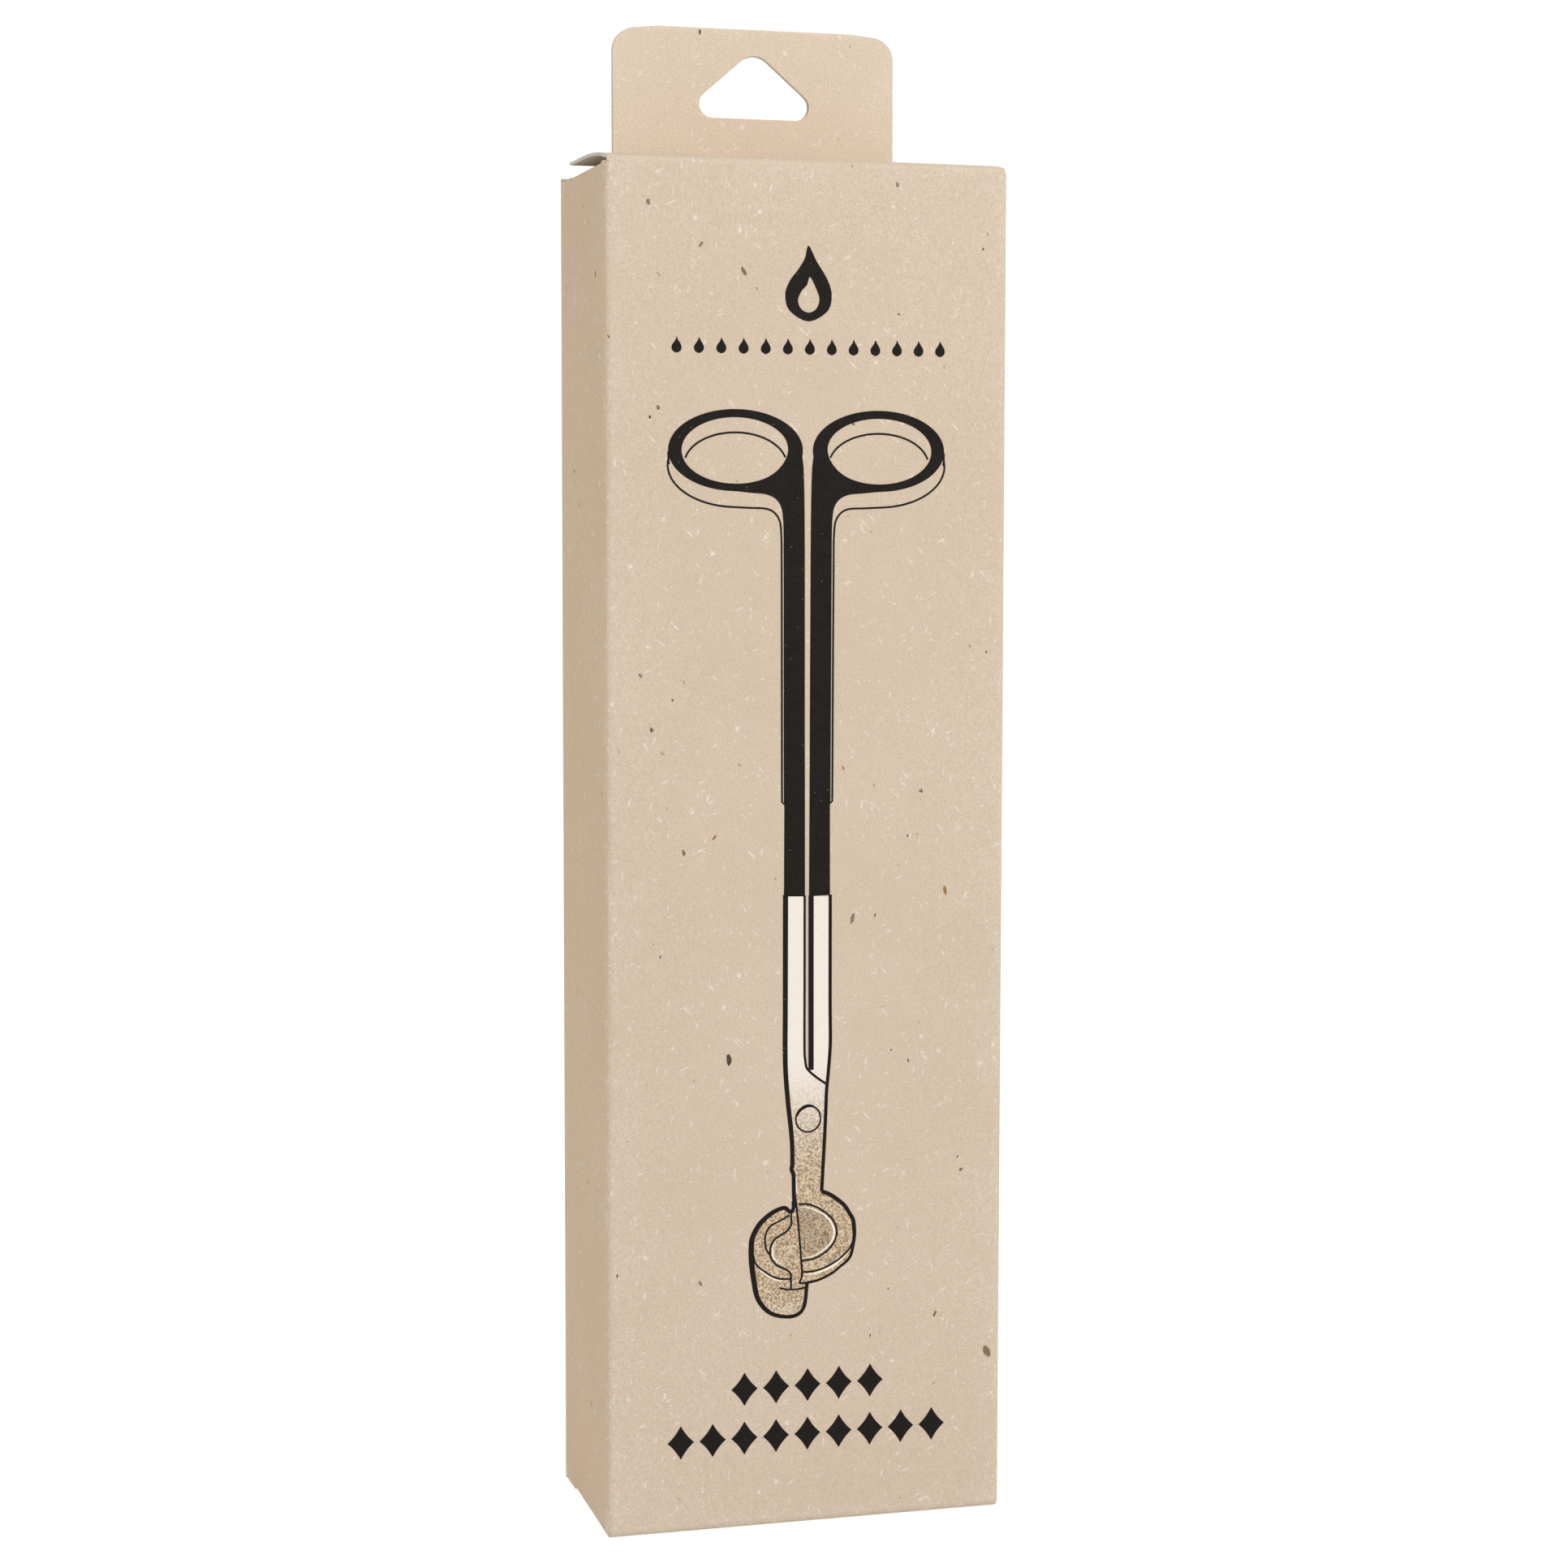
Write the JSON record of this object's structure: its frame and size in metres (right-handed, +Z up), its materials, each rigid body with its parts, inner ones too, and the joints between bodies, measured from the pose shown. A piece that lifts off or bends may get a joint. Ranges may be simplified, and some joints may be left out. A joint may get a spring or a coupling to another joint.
{
  "type": "boxed candle wick trimmer",
  "caption": "Long-handled candle wick trimmer with a tilted dished blade head and catch cup, packed in a hanging folding carton with tuck closures.",
  "frame": {"origin": "centre of the carton's bottom face", "axes": "+Z up along the carton, -Y out of the printed front, +X to the right seen from the front"},
  "size_m": [0.065, 0.034, 0.2402],
  "materials": {
    "kraft_board": "uncoated kraft with fibre flecks, grey-white inside",
    "printed_front_board": "uncoated kraft printed in black with a gold foil block",
    "side_board": "uncoated kraft",
    "hang_tab_board": "uncoated kraft, folded double",
    "inner_board": "grey-white recycled liner inside, kraft outside",
    "black_coat": "soft matt coat",
    "gold_steel": "champagne gold plated, satin",
    "gold_cup": "champagne gold plated, satin",
    "pivot_metal": "champagne gold plated, polished"
  },
  "bodies": {
    "carton": {"front_panel": "printed_front_board", "back_panel": "kraft_board", "left_side_panel": "side_board", "right_side_panel": "side_board", "glue_flap": "inner_board"},
    "hang_tab": {"hang_tab_back_ply": "hang_tab_board", "hang_tab_front_ply": "hang_tab_board"},
    "top_closure": {"top_closure_panel": "kraft_board"},
    "top_tuck": {"top_tuck_flap": "inner_board"},
    "top_dust_left": {"top_dust_flap_left": "inner_board"},
    "top_dust_right": {"top_dust_flap_right": "inner_board"},
    "bottom_closure": {"bottom_closure_panel": "kraft_board"},
    "bottom_tuck": {"bottom_tuck_flap": "inner_board"},
    "bottom_dust_left": {"bottom_dust_flap_left": "inner_board"},
    "bottom_dust_right": {"bottom_dust_flap_right": "inner_board"},
    "pivot": {"pivot_screw": "pivot_metal", "pivot_washer": "pivot_metal", "pivot_collar": "pivot_metal"},
    "front_arm": {"front_arm": "gold_steel", "front_handle_coat": "black_coat"},
    "rear_arm": {"rear_arm": "gold_steel", "rear_handle_coat": "black_coat", "catch_cup": "gold_cup"}
  },
  "joints": [
    {"name": "unpack_slide", "type": "slide", "parent": "carton", "child": "pivot", "axis": [0, 0, 1], "range_m": [0, 0.216]},
    {"name": "handle_opening", "type": "hinge", "parent": "pivot", "child": "front_arm", "pos_m": [0, 0.0055, 0.0399], "axis": [0, -0.999, 0.0436], "range_deg": [0, 2.1]},
    {"name": "rear_handle_opening", "type": "hinge", "parent": "pivot", "child": "rear_arm", "pos_m": [0, 0.0055, 0.0399], "axis": [0, 0.999, -0.0436], "range_deg": [0, 2.1]},
    {"name": "top_closure_crease", "type": "hinge", "parent": "carton", "child": "top_closure", "pos_m": [0, -0.017, 0.215], "axis": [1, 0, 0], "range_deg": [0, 252]},
    {"name": "top_tuck_crease", "type": "hinge", "parent": "top_closure", "child": "top_tuck", "pos_m": [0, 0.015, 0.21752], "axis": [1, 0, 0], "range_deg": [0, 52]},
    {"name": "top_dust_left_crease", "type": "hinge", "parent": "carton", "child": "top_dust_left", "pos_m": [-0.0325, 0, 0.2144], "axis": [0, -1, 0], "range_deg": [0, 262]},
    {"name": "top_dust_right_crease", "type": "hinge", "parent": "carton", "child": "top_dust_right", "pos_m": [0.0325, 0, 0.2144], "axis": [0, 1, 0], "range_deg": [0, 262]},
    {"name": "bottom_closure_crease", "type": "hinge", "parent": "carton", "child": "bottom_closure", "pos_m": [0, -0.017, 0], "axis": [-1, 0, 0], "range_deg": [0, 200]},
    {"name": "bottom_tuck_crease", "type": "hinge", "parent": "bottom_closure", "child": "bottom_tuck", "pos_m": [0, 0.0151, 0], "axis": [-1, 0, 0], "range_deg": [0, 52]},
    {"name": "bottom_dust_left_crease", "type": "hinge", "parent": "carton", "child": "bottom_dust_left", "pos_m": [-0.0325, 0, 0.0006], "axis": [0, 1, 0], "range_deg": [0, 184]},
    {"name": "bottom_dust_right_crease", "type": "hinge", "parent": "carton", "child": "bottom_dust_right", "pos_m": [0.0325, 0, 0.0006], "axis": [0, -1, 0], "range_deg": [0, 184]},
    {"name": "hang_tab_crease", "type": "hinge", "parent": "carton", "child": "hang_tab", "pos_m": [0, 0.017, 0.215], "axis": [-1, 0, 0], "range_deg": [0, 90]}
  ],
  "couplings": [
    {"joint": "rear_handle_opening", "follows": "handle_opening", "ratio": 1},
    {"joint": "top_closure_crease", "follows": "unpack_slide", "rad_per_m": 20.362},
    {"joint": "top_tuck_crease", "follows": "unpack_slide", "rad_per_m": 4.2017},
    {"joint": "top_dust_left_crease", "follows": "unpack_slide", "rad_per_m": 21.17},
    {"joint": "top_dust_right_crease", "follows": "unpack_slide", "rad_per_m": 21.17},
    {"joint": "bottom_tuck_crease", "follows": "bottom_closure_crease", "ratio": 0.26},
    {"joint": "bottom_dust_left_crease", "follows": "bottom_closure_crease", "ratio": 0.92},
    {"joint": "bottom_dust_right_crease", "follows": "bottom_closure_crease", "ratio": 0.92}
  ]
}
